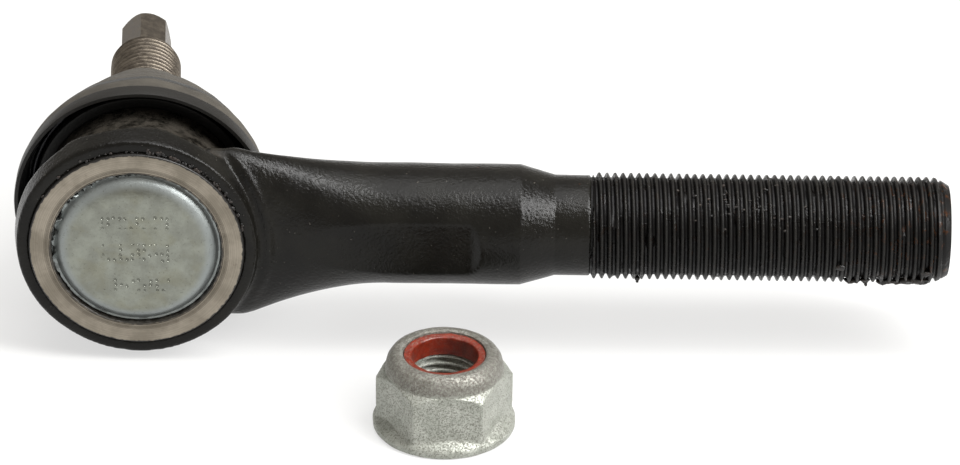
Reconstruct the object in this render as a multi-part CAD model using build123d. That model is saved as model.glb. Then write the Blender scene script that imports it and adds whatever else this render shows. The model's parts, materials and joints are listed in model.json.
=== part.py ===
"""Tie rod end: a forged socket on a threaded shank, with a preloaded ball stud,
a rubber dust boot and a flanged lock nut standing beside it.

Millimetres.  The origin is the centre of the ball.  +X runs along the shank to
its threaded end, +Y runs out of the socket on the stud's side, and +Z is up as
the part lies on a bench.  Turned pieces are drawn as (radius, y) half sections.
"""
from build123d import *
import math
import os

os.makedirs("parts", exist_ok=True)

# ---------------------------------------------------------------- dimensions
# Ball stud, M14 x 1.5 with a 1:8 taper and a 9 mm holding hexagon.
BALL_R = 13.5
BALL_CUT = 2.0              # taken off the ball's underside
STUD_THREAD_R = 7.0
STUD_THREAD_LEN = 16.3
STUD_RELIEF_DEPTH = 0.3
STUD_RELIEF_LEN = 1.0
TAPER_START = 25.5
TAPER_LEN = 14.0
TAPER_RATIO = 1 / 8         # on diameter
TAPER_SHOULDER = 0.625      # small end of the taper over the thread
TAPER_LEAD = 1.0            # straight stretch before the taper
NECK_DROP = 1.3             # neck below the taper's large end
NECK_BLEND = 0.8            # the ball runs into the neck this much wider than the neck
NECK_BLEND_LEN = 2.13
NECK_LEN = 6.0
TIP_FLATS = 9.0
TIP_LEN = 15.3
TIP_CORNER_DEG = -19.0      # first corner, from +X towards +Z
TIP_NOSE_LEN = 2.0
TIP_NOSE_DROP = 1.2
REST_TILT = 3.5             # the stud lies this far off square, towards -X

# Bearings, disc spring and cover plate.
BEARING_WALL = 2.65         # at the ball's equator
BEARING_SPLIT = 0.5         # half the gap between the two bearings
BEARING_CONE_Y = 3.0
BEARING_END_Y = 8.1
BEARING_END_DROP = 0.7      # the bearing's end face is this much narrower than the ball
BEARING_LIP_DROP = 2.02     # and its opening this much
SEAT_WALL = 1.4             # under the edge of the seat's hole
SEAT_HOLE_R = 6.8
SEAT_BEVEL = 2.0
SPRING_T = 1.4
SPRING_H = 2.68             # between the seat and the cover plate, with the preload on
SPRING_SEAT = 0.4           # the spring's inner edge bears this far outside the seat's hole
COVER_T = 2.2
COVER_LEDGE = 1.6           # seat of the cover plate's flange beyond the bore
COVER_FLANGE = 2.9          # width of the flange
COVER_PROUD = 0.3           # hat's edge stands proud of the rim
COVER_CROWN = 0.7
CROWN_HALFWAY = 0.75        # share of the crown that is left halfway out to the edge

# Socket of the forging.
SHANK_Y = -6.0              # the shank's axis is this far on the cover's side of the ball
RIM_T = 1.6                 # lip rolled over the cover plate
RIM_GAP = 0.8               # between the rolled lip and the cover plate's hat
RING_WALL = 2.0             # turned ring left bare round the mouth, beyond the cover plate
RING_STEP = 0.5
BAND_SHOULDER = 2.4         # band outside the ring
BAND_FLARE = 0.8
BAND_LEN = 4.6
WAIST_DROP = 1.6            # length of the step behind the band
WAIST_WALL = 2.1            # waist outside the boot's seat
NECK_WALL = 2.2             # boot's seat outside the bore
NECK_SHOULDER = 0.9
SEAT_START_Y = -2.6
THROAT_LEN = 3.7
THROAT_DROP = 1.5           # opening narrower than the ball, which keeps the ball in
THROAT_FLARE = 2.2

# Arm and shank, M20 x 1.5.
ARM_R = 11.35
ARM_FLARE_END = 46.0
ARM_END = 71.4
CONE_END = 77.9
SHANK_THREAD_R = 10.0
SHANK_THREAD_START = 84.6
SHANK_UNDERCUT = 0.55       # neck below the thread
SHANK_END = 151.7
SHANK_CHAMFER = 3.0
SHANK_CHAMFER_DEPTH = 1.5
FLAT_HALF = 10.0            # shank axis to each wrench flat
FLAT_END = 61.2
FLAT_END_R = 3.1            # concave radius that runs each flat out
# Oval sections of the flare: place, half height and half depth beyond ARM_R, and how far forward.
FLARE = (
    (9.0, 6.25, -6.0, 4.4), (17.0, 6.25, -6.0, 4.4), (22.0, 5.35, -5.8, 4.1), (30.0, 2.9, -3.5, 2.1),
    (38.0, 1.0, -1.35, 0.7),
)

# Dust boot, its spring ring and its collar's bush.
BOOT_WALL = 2.0
DOME_DROP = 0.67            # the dome's inner side lies this much lower, as well as a wall further in
FOOT_T = 2.2
FOOT_START = 3.4
FOOT_END = 9.6
WIRE_R = 0.6
SKIRT_GAP = 0.4             # between the spring ring and the skirt
LIP_FRONT_Y = -1.6
LIP_BEVEL = 0.2
# Dome: height, and radius as a share of the way from the collar out to the lip.
DOME_LOWER = ((1.6, 1.0), (5.0, 0.985), (10.5, 0.836), (13.2, 0.746))
DOME_UPPER = ((10.5, 0.836), (15.3, 0.679), (19.9, 0.53), (24.4, 0.381), (29.2, 0.216), (33.2, 0.067))
COLLAR_START = 29.6
COLLAR_END = 34.6
COLLAR_WALL = 0.9
BUSH_WALL = 1.2             # at the taper's large end
BUSH_LEN = 3.8
BOOT_RELIEF = 0.8           # between the lip and the relief cut in the arm's root

# Flanged lock nut, M14 x 1.5.
NUT_X = 57.7
NUT_Y = -37.8
NUT_FLATS = 22.0
NUT_CORNER_DEG = 4.0
NUT_H = 15.2
NUT_HEX_TOP = 11.4
NUT_HEX_CHAMFER = 1.2
NUT_FLANGE = 2.2            # beyond the flats
NUT_FLANGE_T = 1.6
NUT_FLANGE_CONE = 1.2
NUT_FLANGE_BEVEL = 0.3
NUT_THREAD_DEPTH = 0.81
NUT_LEAD_IN = 1.0
NUT_COLLAR_WALL = 1.6
NUT_COLLAR_BEVEL = 1.2
NUT_MOUTH_GAP = 0.55        # collar's mouth wider than the thread
INSERT_WALL = 2.2           # outside the stud's thread
INSERT_BITE = 0.65          # hole smaller than the stud's thread
INSERT_START = 10.9
INSERT_T = 3.2

# Clearances.
RUNNING = 0.05              # ball in its bearings
SLIP = 0.1                  # bearings in the bore, cover plate in its counterbore
CLEAR = 0.3                 # between bodies that never touch
CHAMFER = 0.6
CUT = 1.0                   # how far a cutting shape runs past a face

# ---------------------------------------------------------------- derived places
TAPER_END_R = STUD_THREAD_R + TAPER_SHOULDER
TAPER_R = TAPER_END_R + TAPER_LEN * TAPER_RATIO / 2
NECK_R = TAPER_R - NECK_DROP
TAPER_END = TAPER_START + TAPER_LEN
STUD_THREAD_START = TAPER_END + STUD_RELIEF_LEN
STUD_THREAD_END = STUD_THREAD_START + STUD_THREAD_LEN
TIP_END = STUD_THREAD_END + TIP_LEN

CUP_R = BALL_R + RUNNING
BEARING_OUT_R = CUP_R + BEARING_WALL
BEARING_END_R = BALL_R - BEARING_END_DROP
BEARING_LIP_R = BALL_R - BEARING_LIP_DROP
BORE_R = BEARING_OUT_R + SLIP
OPEN_R = BALL_R - THROAT_DROP
SEAT_IN_Y = -math.sqrt(CUP_R ** 2 - SEAT_HOLE_R ** 2)
SEAT_OUT_Y = SEAT_IN_Y - SEAT_WALL
SPRING_IN_R = SEAT_HOLE_R + SPRING_SEAT
COVER_IN_Y = SEAT_OUT_Y - SPRING_H
RIM_FACE_Y = COVER_IN_Y - COVER_T + COVER_PROUD
RIM_BACK_Y = RIM_FACE_Y + RIM_T
COVER_SEAT_Y = RIM_BACK_Y + COVER_T
COVER_FLANGE_R = BORE_R + COVER_LEDGE
COVER_HAT_R = COVER_FLANGE_R - COVER_FLANGE
RIM_IN_R = COVER_HAT_R + RIM_GAP
RING_OUT_R = COVER_FLANGE_R + RING_WALL
BAND_FRONT_R = RING_OUT_R + BAND_SHOULDER
BAND_REAR_R = BAND_FRONT_R + BAND_FLARE
BAND_REAR_Y = RIM_FACE_Y + RING_STEP + BAND_LEN
NECK_OUT_R = BORE_R + NECK_WALL
WAIST_R = NECK_OUT_R + WAIST_WALL
SOCKET_END_Y = BEARING_END_Y + THROAT_LEN

SHANK_NECK_R = SHANK_THREAD_R - SHANK_UNDERCUT

BUSH_OUT_R = TAPER_R + BUSH_WALL
COLLAR_IN_R = BUSH_OUT_R + CLEAR
COLLAR_OUT_R = COLLAR_IN_R + COLLAR_WALL
FOOT_OUT_R = NECK_OUT_R + FOOT_T
SKIRT_IN_R = FOOT_OUT_R + 2 * WIRE_R + SKIRT_GAP
LIP_R = SKIRT_IN_R + BOOT_WALL
FLOOR_Z = -LIP_R

NUT_BORE_R = STUD_THREAD_R - NUT_THREAD_DEPTH
NUT_MOUTH_R = STUD_THREAD_R + NUT_MOUTH_GAP
NUT_FLANGE_R = NUT_FLATS / 2 + NUT_FLANGE
INSERT_R = STUD_THREAD_R + INSERT_WALL
INSERT_HOLE_R = STUD_THREAD_R - INSERT_BITE
NUT_COLLAR_R = INSERT_R + NUT_COLLAR_WALL


def turned(points):
    """Solid of revolution about Y from a closed (radius, y) outline."""
    return revolve(make_face(Polyline(*points, close=True)), Axis.Y)


def along_shank(points):
    """Solid of revolution about the shank's axis from an (x, radius) outline."""
    outline = [(x, SHANK_Y + r) for x, r in points]
    return revolve(make_face(Polyline(*outline, close=True)), Axis((0, SHANK_Y, 0), (1, 0, 0)))


def hexagon(flats, corner_deg):
    return RegularPolygon(flats / 2, 6, major_radius=False, rotation=corner_deg)


def tilted(shape):
    """Leans a piece of the stud's side from square to its resting place."""
    return Rot(0, 0, REST_TILT) * shape


def on_circle(radius, y):
    return math.sqrt(radius ** 2 - y ** 2)


def make_socket():
    outer = [
        (0, RIM_FACE_Y), (RING_OUT_R, RIM_FACE_Y), (RING_OUT_R, RIM_FACE_Y + RING_STEP),
        (BAND_FRONT_R, RIM_FACE_Y + RING_STEP), (BAND_REAR_R, BAND_REAR_Y),
        (WAIST_R, BAND_REAR_Y + WAIST_DROP), (NECK_OUT_R + NECK_SHOULDER, SEAT_START_Y),
        (NECK_OUT_R, SEAT_START_Y), (NECK_OUT_R, SOCKET_END_Y - CHAMFER),
        (NECK_OUT_R - CHAMFER, SOCKET_END_Y), (0, SOCKET_END_Y),
    ]
    return turned(outer)


def make_socket_bore():
    """Everything cut out of the socket: mouth, counterbore, bore, cone and throat."""
    cone_r = BEARING_END_R + SLIP
    flare_r = OPEN_R + THROAT_FLARE
    cut = [
        (0, RIM_FACE_Y - CUT), (RIM_IN_R, RIM_FACE_Y - CUT), (RIM_IN_R, RIM_BACK_Y),
        (COVER_FLANGE_R + SLIP, RIM_BACK_Y), (COVER_FLANGE_R + SLIP, COVER_SEAT_Y),
        (BORE_R, COVER_SEAT_Y), (BORE_R, BEARING_CONE_Y), (cone_r, BEARING_END_Y),
        (OPEN_R, BEARING_END_Y), (flare_r, SOCKET_END_Y), (flare_r, SOCKET_END_Y + CUT),
        (0, SOCKET_END_Y + CUT),
    ]
    return turned(cut)


def make_arm():
    """Forged arm: oval and set forward where it leaves the socket, round from the flare's end."""
    sections = [(x, ARM_R + dz, ARM_R + dy, forward) for x, dz, dy, forward in FLARE]
    sections.append((ARM_FLARE_END, ARM_R, ARM_R, 0))
    faces = [
        Plane(origin=(x, SHANK_Y - forward, 0), x_dir=(0, 1, 0), z_dir=(1, 0, 0)) * Ellipse(half_y, half_z)
        for x, half_z, half_y, forward in sections
    ]
    bar = along_shank([
        (ARM_FLARE_END, 0), (ARM_FLARE_END, ARM_R), (ARM_END, ARM_R), (CONE_END, SHANK_NECK_R),
        (SHANK_THREAD_START, SHANK_NECK_R), (SHANK_THREAD_START + CHAMFER, SHANK_THREAD_R),
        (SHANK_END - SHANK_CHAMFER, SHANK_THREAD_R), (SHANK_END, SHANK_THREAD_R - SHANK_CHAMFER_DEPTH),
        (SHANK_END, 0),
    ])
    return loft(faces) + bar - make_wrench_flats()


def make_wrench_flats():
    """One flat on the cover's side and one on the stud's, from the socket to a concave run-out."""
    depth = 2 * FLAT_END_R
    height = 2 * (ARM_R + max(beyond for x, beyond, thinner, forward in FLARE) + CUT)
    cuts = []
    for side in (-1, 1):
        flat_y = SHANK_Y + side * FLAT_HALF
        slab = Pos(FLAT_END / 2, flat_y + side * depth / 2, 0) * Box(FLAT_END, depth, height)
        run_out = Pos(FLAT_END, flat_y + side * FLAT_END_R, 0) * Cylinder(FLAT_END_R, height)
        cuts += [slab, run_out]
    return cuts[0] + cuts[1] + cuts[2] + cuts[3]


def make_housing():
    """Forged socket, arm and shank in one piece, with the arm's root cut back for the boot."""
    relief_r = LIP_R + BOOT_RELIEF
    front = LIP_FRONT_Y - BOOT_RELIEF
    back = SHANK_Y + ARM_R + CUT
    relief = turned([(NECK_OUT_R, front), (relief_r, front), (relief_r, back), (NECK_OUT_R, back)])
    return make_socket() + (make_arm() - relief) - make_socket_bore()


def make_ball_stud():
    blend_r = NECK_R + NECK_BLEND
    blend_y = on_circle(BALL_R, blend_r)
    neck_y = blend_y + NECK_BLEND_LEN
    cut_y = -(BALL_R - BALL_CUT)
    cut_r = on_circle(BALL_R, cut_y)
    relief_r = STUD_THREAD_R - STUD_RELIEF_DEPTH
    ball = ThreePointArc((cut_r, cut_y), (BALL_R, 0), (blend_r, blend_y))
    stem = Polyline(
        (blend_r, blend_y), (NECK_R, neck_y), (NECK_R, neck_y + NECK_LEN),
        (TAPER_R, TAPER_START - TAPER_LEAD), (TAPER_R, TAPER_START), (TAPER_END_R, TAPER_END),
        (relief_r, TAPER_END), (relief_r, STUD_THREAD_START),
        (STUD_THREAD_R, STUD_THREAD_START), (STUD_THREAD_R, STUD_THREAD_END - CHAMFER),
        (STUD_THREAD_R - CHAMFER, STUD_THREAD_END), (0, STUD_THREAD_END), (0, cut_y), (cut_r, cut_y),
    )
    body = revolve(make_face(ball + stem), Axis.Y)
    plane = Plane(origin=(0, STUD_THREAD_END, 0), x_dir=(1, 0, 0), z_dir=(0, 1, 0))
    tip = extrude(plane * hexagon(TIP_FLATS, -TIP_CORNER_DEG), TIP_LEN)
    corner_r = TIP_FLATS / math.sqrt(3)
    nose = turned([
        (0, STUD_THREAD_END), (corner_r, STUD_THREAD_END), (corner_r, TIP_END - TIP_NOSE_LEN),
        (TIP_FLATS / 2 - TIP_NOSE_DROP, TIP_END), (0, TIP_END),
    ])
    return tilted(body + (tip & nose))


def make_upper_bearing():
    """Ball race on the stud's side: it seats on the cone of the bore."""
    lip_y = on_circle(CUP_R, BEARING_LIP_R)
    start = (on_circle(CUP_R, BEARING_SPLIT), BEARING_SPLIT)
    middle_y = (BEARING_SPLIT + lip_y) / 2
    cup = ThreePointArc(start, (on_circle(CUP_R, middle_y), middle_y), (BEARING_LIP_R, lip_y))
    rest = Polyline(
        (BEARING_LIP_R, lip_y), (OPEN_R, BEARING_END_Y), (BEARING_END_R, BEARING_END_Y),
        (BEARING_OUT_R, BEARING_CONE_Y), (BEARING_OUT_R, BEARING_SPLIT), start,
    )
    return revolve(make_face(cup + rest), Axis.Y)


def make_lower_bearing():
    """Ball seat on the cover's side: the spring pushes it against the ball."""
    start = (on_circle(CUP_R, BEARING_SPLIT), -BEARING_SPLIT)
    middle_y = (SEAT_IN_Y - BEARING_SPLIT) / 2
    cup = ThreePointArc(start, (on_circle(CUP_R, middle_y), middle_y), (SEAT_HOLE_R, SEAT_IN_Y))
    rest = Polyline(
        (SEAT_HOLE_R, SEAT_IN_Y), (SEAT_HOLE_R, SEAT_OUT_Y),
        (BEARING_OUT_R - SEAT_BEVEL, SEAT_OUT_Y), (BEARING_OUT_R, SEAT_OUT_Y + SEAT_BEVEL),
        (BEARING_OUT_R, -BEARING_SPLIT), start,
    )
    return revolve(make_face(cup + rest), Axis.Y)


def make_preload_spring():
    """Disc spring: its outer edge bears on the cover, its inner edge on the lower bearing."""
    outer_r = COVER_HAT_R - COVER_T - CLEAR
    return turned([
        (outer_r, COVER_IN_Y), (outer_r, COVER_IN_Y + SPRING_T),
        (SPRING_IN_R, SEAT_OUT_Y), (SPRING_IN_R, SEAT_OUT_Y - SPRING_T),
    ])


def make_cover_plate():
    """Pressed hat: its flange is held under the rolled rim, its crown stands a little proud."""
    front = RIM_FACE_Y - COVER_PROUD
    edge_r = COVER_HAT_R - CHAMFER
    crown = ThreePointArc(
        (0, front - COVER_CROWN), (edge_r / 2, front - COVER_CROWN * CROWN_HALFWAY), (edge_r, front),
    )
    rest = Polyline(
        (edge_r, front), (COVER_HAT_R, front + CHAMFER), (COVER_HAT_R, RIM_BACK_Y),
        (COVER_FLANGE_R, RIM_BACK_Y), (COVER_FLANGE_R, COVER_SEAT_Y),
        (COVER_HAT_R - COVER_T, COVER_SEAT_Y), (COVER_HAT_R - COVER_T, COVER_IN_Y),
        (0, COVER_IN_Y), (0, front - COVER_CROWN),
    )
    return revolve(make_face(crown + rest), Axis.Y)


def dome_outline(stretch):
    """Points (radius, y) on the outside of a stretch of the dome."""
    return [(COLLAR_OUT_R + share * (LIP_R - COLLAR_OUT_R), y) for y, share in stretch]


def wall_behind(outer):
    """Inner side of a stretch of the dome, back from its top to its foot."""
    return [(r - BOOT_WALL, y - DOME_DROP) for r, y in reversed(outer)]


def make_dust_boot():
    """Rubber boot: open skirt, foot round the socket's neck, dome that leans over to the stud, collar."""
    skirt_end = FOOT_END - BOOT_WALL
    low = dome_outline(DOME_LOWER)
    high = dome_outline(DOME_UPPER)
    lower = turned([
        (SKIRT_IN_R, LIP_FRONT_Y), (LIP_R - LIP_BEVEL, LIP_FRONT_Y), *low, *wall_behind(low[2:]),
        (FOOT_OUT_R, FOOT_END), (NECK_OUT_R, FOOT_END), (NECK_OUT_R, FOOT_START),
        (FOOT_OUT_R, FOOT_START), (FOOT_OUT_R, skirt_end), (SKIRT_IN_R, skirt_end),
    ])
    upper = turned([
        *high, (COLLAR_OUT_R, COLLAR_END), (COLLAR_IN_R, COLLAR_END),
        (COLLAR_IN_R, COLLAR_START), *wall_behind(high[:-1]),
    ])
    return lower + tilted(upper)


def ring_of_wire(centre_r, y):
    return Pos(0, y, 0) * Rot(90, 0, 0) * Torus(centre_r, WIRE_R)


def make_boot_lower_ring():
    """Closed spring wire that grips the boot's foot on the socket's neck."""
    return ring_of_wire(FOOT_OUT_R + WIRE_R, (FOOT_START + FOOT_END - BOOT_WALL) / 2)


def make_boot_collar_bush():
    """Hard bush in the boot's collar: it leans with the stud, and the stud's taper turns in it."""
    top = COLLAR_END - CLEAR
    bottom = top - BUSH_LEN
    bore = [(TAPER_R - (y - TAPER_START) * TAPER_RATIO / 2 + 2 * RUNNING, y) for y in (top, bottom)]
    return tilted(turned([(BUSH_OUT_R, bottom), (BUSH_OUT_R, top), *bore]))


def upright(points):
    """Solid of revolution about Z from a closed (radius, z) outline."""
    return revolve(make_face(Plane.XZ * Polyline(*points, close=True)), Axis.Z)


def make_stud_nut():
    """Hexagon nut with a flange below and a rolled collar above that holds the insert."""
    corner_r = NUT_FLATS / math.sqrt(3)
    cone_top = NUT_FLANGE_T + NUT_FLANGE_CONE
    insert_end = INSERT_START + INSERT_T
    flange = upright([
        (0, 0), (NUT_FLANGE_R - NUT_FLANGE_BEVEL, 0), (NUT_FLANGE_R, NUT_FLANGE_BEVEL),
        (NUT_FLANGE_R, NUT_FLANGE_T), (NUT_FLATS / 2, cone_top), (0, cone_top),
    ])
    limit = upright([
        (0, 0), (corner_r, 0), (corner_r, NUT_HEX_TOP - NUT_HEX_CHAMFER), (NUT_FLATS / 2, NUT_HEX_TOP),
        (0, NUT_HEX_TOP),
    ])
    collar = upright([
        (0, NUT_HEX_TOP - NUT_HEX_CHAMFER), (NUT_COLLAR_R, NUT_HEX_TOP - NUT_HEX_CHAMFER),
        (NUT_COLLAR_R, NUT_H - NUT_COLLAR_BEVEL), (NUT_COLLAR_R - NUT_COLLAR_BEVEL, NUT_H), (0, NUT_H),
    ])
    hole = upright([
        (0, -CUT), (NUT_BORE_R + NUT_LEAD_IN, -CUT), (NUT_BORE_R + NUT_LEAD_IN, 0),
        (NUT_BORE_R, NUT_LEAD_IN), (NUT_BORE_R, INSERT_START), (INSERT_R, INSERT_START),
        (INSERT_R, insert_end), (NUT_MOUTH_R, insert_end), (NUT_MOUTH_R, NUT_H + CUT), (0, NUT_H + CUT),
    ])
    body = extrude(hexagon(NUT_FLATS, NUT_CORNER_DEG), NUT_HEX_TOP)
    return Pos(NUT_X, NUT_Y, FLOOR_Z) * (flange + (body & limit) + collar - hole)


def make_nut_lock_insert():
    """Nylon ring that the stud's thread cuts into."""
    place = Pos(NUT_X, NUT_Y, FLOOR_Z + INSERT_START + INSERT_T / 2)
    return place * (Cylinder(INSERT_R, INSERT_T) - Cylinder(INSERT_HOLE_R, INSERT_T))


MAKERS = {
    "housing": make_housing,
    "ball_stud": make_ball_stud,
    "upper_bearing": make_upper_bearing,
    "lower_bearing": make_lower_bearing,
    "preload_spring": make_preload_spring,
    "cover_plate": make_cover_plate,
    "dust_boot": make_dust_boot,
    "boot_lower_ring": make_boot_lower_ring,
    "boot_collar_bush": make_boot_collar_bush,
    "stud_nut": make_stud_nut,
    "nut_lock_insert": make_nut_lock_insert,
}

for name, maker in MAKERS.items():
    export_step(maker(), f"parts/{name}.step")
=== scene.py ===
"""Looks of the tie rod end: detailed pieces, finishes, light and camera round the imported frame.

Metres in the scene, millimetres in the named sizes.  Turned pieces are drawn as
(along the axis, radius) outlines and spun.
"""
import json
import math
import random

import bmesh
import bpy
from mathutils import Matrix, Vector, noise


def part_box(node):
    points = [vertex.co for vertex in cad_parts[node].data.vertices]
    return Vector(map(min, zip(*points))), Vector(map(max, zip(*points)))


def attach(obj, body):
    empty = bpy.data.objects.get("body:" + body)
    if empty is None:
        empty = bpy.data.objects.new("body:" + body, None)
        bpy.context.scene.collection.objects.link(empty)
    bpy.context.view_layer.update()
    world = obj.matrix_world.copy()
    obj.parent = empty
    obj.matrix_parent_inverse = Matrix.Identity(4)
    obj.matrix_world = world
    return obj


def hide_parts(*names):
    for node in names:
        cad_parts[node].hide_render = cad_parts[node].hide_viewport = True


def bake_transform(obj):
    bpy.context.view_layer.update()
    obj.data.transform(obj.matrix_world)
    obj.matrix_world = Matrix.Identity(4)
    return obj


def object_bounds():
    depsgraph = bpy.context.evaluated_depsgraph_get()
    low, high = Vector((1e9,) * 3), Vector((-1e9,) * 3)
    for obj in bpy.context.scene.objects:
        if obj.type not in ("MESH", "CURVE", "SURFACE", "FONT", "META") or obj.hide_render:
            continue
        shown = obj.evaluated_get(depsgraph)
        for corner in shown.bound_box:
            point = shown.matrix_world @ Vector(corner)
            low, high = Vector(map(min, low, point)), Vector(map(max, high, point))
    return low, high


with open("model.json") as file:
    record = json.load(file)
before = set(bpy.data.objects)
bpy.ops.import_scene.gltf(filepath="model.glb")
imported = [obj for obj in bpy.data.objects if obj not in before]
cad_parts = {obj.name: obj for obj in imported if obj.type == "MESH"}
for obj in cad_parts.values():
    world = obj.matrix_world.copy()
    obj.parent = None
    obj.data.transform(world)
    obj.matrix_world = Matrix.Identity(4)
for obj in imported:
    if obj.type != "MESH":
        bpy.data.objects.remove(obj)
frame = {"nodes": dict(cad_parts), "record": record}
CAD_BOX = [list(corner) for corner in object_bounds()]
MM = 0.001

# ---------------------------------------------------------------- places, from the frame
MOUNTS = {mount["name"]: mount for mount in frame["record"]["mounts"]}
SHANK_Y = MOUNTS["shank_thread"]["pos_m"][1] / MM
STUD_AXIS = Vector(MOUNTS["stud_thread"]["axis"])
REST_TILT = math.atan2(-STUD_AXIS.x, STUD_AXIS.y)
FLOOR_Z = CAD_BOX[0][2] / MM
SHANK_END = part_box("housing")[1].x / MM
RIM_FACE_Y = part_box("housing")[0].y / MM
NUT_LOW, NUT_HIGH = (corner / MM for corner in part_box("stud_nut"))
NUT_CENTRE = (NUT_LOW + NUT_HIGH) / 2

# ---------------------------------------------------------------- sizes
PITCH = 1.5                 # both threads and the nut's
THREAD_DEPTH = 0.92         # 0.613 of the pitch

RING_IN_R = 15.8            # bare turned ring round the mouth
RING_OUT_R = 19.9
RING_STEP = 0.5
BAND_FRONT_R = 22.3
BAND_REAR_R = 23.1
BAND_LEN = 4.6
WAIST_R = 20.6
NECK_OUT_R = 18.5
SEAT_START_Y = -2.6
SOCKET_END_Y = 11.8
SOCKET_BORE_R = 16.3
OPEN_R = 12.0
OPEN_FLARE_R = 14.2
MOUTH_DEPTH = 3.8

ARM_R = 11.35
ARM_ROOT_X = 9.0
FLARE_X = 15.0              # where the flare would be at its full size
FLARE_END = 46.0
FLARE_HALF_Z = 19.26
ROOT_HALF_Z = 17.6
ROOT_FORWARD = 6.3          # how far the flare's middle would lie in front of the shank's
ROOT_THINNING = 1.65        # the root's front face lies this far behind the barrel's
ARM_END = 71.4
CONE_END = 77.9
SHANK_NECK_R = 9.45
SHANK_THREAD_R = 10.0
SHANK_THREAD_START = 84.6
SHANK_CHAMFER = 3.0
SHANK_END_R = 8.5
FLAT_HALF = 10.0
FLAT_END = 61.2
FLAT_RUN_OUT = 2.9
RIDGE_R = 24.7              # forged ridge between the band and the arm, from the ball's axis
RIDGE_H = 0.55
RIDGE_HALF_WIDTH = 0.75
FUSE_GRID = 0.42            # the grid that fuses the socket and the arm

LIP_R = 24.3
LIP_FRONT_Y = -1.6
RELIEF_R = 25.1

BALL_R = 13.5
STUD_THREAD_R = 7.0
STUD_THREAD_START = 40.5
STUD_THREAD_END = 56.8
TIP_END = 72.1
TIP_FLATS = 9.0
TIP_CORNER_DEG = -19.0

NUT_FLATS = 22.0
NUT_CORNER_DEG = 4.0
COLLAR_FROM = 11.7          # height of the rolled collar's foot
NUT_BORE_R = 6.2
NUT_THREAD_R = 7.08         # a little over the stud's
UNDER_COLLAR_R = 7.8        # the thread's ends are closed out to here, inside the blank
FLANGE_R = 13.2

# ---------------------------------------------------------------- mesh helpers


def wire(points, radii=None, close=False, segments=4):
    """A wire of straight runs in the plane of (along, radius), some corners rounded."""
    bm = bmesh.new()
    verts = [bm.verts.new((along, radius, 0)) for along, radius in points]
    pairs = list(zip(verts, verts[1:]))
    if close:
        pairs.append((verts[-1], verts[0]))
    for a, b in pairs:
        bm.edges.new((a, b))
    for index, size in (radii or {}).items():
        bmesh.ops.bevel(bm, geom=[verts[index]], offset=size, offset_type="OFFSET", segments=segments,
                        profile=0.5, affect="VERTICES", material=-1)
    return bm


def everything(bm):
    return list(bm.verts) + list(bm.edges) + list(bm.faces)


def spin(bm, steps=96, turns=1, pitch=0.0):
    """Spins a wire about its X axis; a pitch makes a screw, one turn doubled until it is long enough."""
    bmesh.ops.spin(bm, geom=list(bm.verts) + list(bm.edges), cent=(0, 0, 0), axis=(1, 0, 0), angle=math.tau,
                   steps=steps, dvec=(pitch / steps, 0, 0), use_merge=(pitch == 0), use_duplicate=False)
    made = 1
    while made < turns:
        copied = bmesh.ops.duplicate(bm, geom=everything(bm))["geom"]
        moved = [v for v in copied if isinstance(v, bmesh.types.BMVert)]
        bmesh.ops.translate(bm, vec=(pitch * made, 0, 0), verts=moved)
        made *= 2
    bmesh.ops.remove_doubles(bm, verts=bm.verts, dist=1e-4)
    bmesh.ops.recalc_face_normals(bm, faces=bm.faces)
    return bm


def from_axis(vert, factor):
    """Moves a point of a spun shape nearer to its X axis or further from it."""
    vert.co.y *= factor
    vert.co.z *= factor


def stations(bm, step):
    """Divides long runs of a wire so that no run is longer than step."""
    for edge in list(bm.edges):
        cuts = int(edge.calc_length() / step)
        if cuts:
            bmesh.ops.subdivide_edges(bm, edges=[edge], cuts=cuts)
    return bm


ABOUT_Y = Matrix(((0, 1, 0, 0), (1, 0, 0, 0), (0, 0, -1, 0), (0, 0, 0, 1)))
ABOUT_Z = Matrix(((0, 0, 1, 0), (0, 1, 0, 0), (-1, 0, 0, 0), (0, 0, 0, 1))).inverted()


def about_shank():
    return Matrix.Translation((0, SHANK_Y, 0))


def place(bm, matrix):
    bmesh.ops.transform(bm, matrix=matrix, verts=bm.verts)
    return bm


def lean(bm, start=None, end=None):
    """Leans what lies on the stud's side; between start and end the lean comes in smoothly."""
    for vert in bm.verts:
        share = 1.0
        if start is not None:
            t = min(max((vert.co.y - start) / (end - start), 0), 1)
            share = t * t * (3 - 2 * t)
        vert.co = Matrix.Rotation(REST_TILT * share, 3, "Z") @ vert.co
    return bm


def join(target, *others):
    """Adds the meshes of others to target."""
    for other in others:
        mesh = bpy.data.meshes.new("joined")
        other.to_mesh(mesh)
        target.from_mesh(mesh)
        bpy.data.meshes.remove(mesh)
        other.free()
    return target


def cap(bm):
    """Closes open ends with one face each."""
    bmesh.ops.holes_fill(bm, edges=[e for e in bm.edges if e.is_boundary], sides=0)
    return bm


def bisect(bm, x, keep_below):
    """Cuts a spun shape square across its axis and keeps one side."""
    bmesh.ops.bisect_plane(bm, geom=everything(bm), plane_co=(x, 0, 0), plane_no=(1, 0, 0),
                           clear_outer=keep_below, clear_inner=not keep_below, dist=1e-5)


def as_object(name, bm):
    """Turns millimetres into metres and gives the mesh an object at the origin."""
    mesh = bpy.data.meshes.new(name)
    bmesh.ops.scale(bm, vec=(MM, MM, MM), verts=bm.verts)
    bm.to_mesh(mesh)
    bm.free()
    obj = bpy.data.objects.new(name, mesh)
    bpy.context.scene.collection.objects.link(obj)
    return obj


def smooth_shade(obj, angle=35):
    obj.data.shade_smooth()
    obj.data.set_sharp_from_angle(angle=math.radians(angle))


def applied(obj):
    """Applies the object's modifiers."""
    depsgraph = bpy.context.evaluated_depsgraph_get()
    mesh = bpy.data.meshes.new_from_object(obj.evaluated_get(depsgraph))
    obj.modifiers.clear()
    old = obj.data
    obj.data = mesh
    bpy.data.meshes.remove(old)
    mesh.name = obj.name
    return obj


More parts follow.
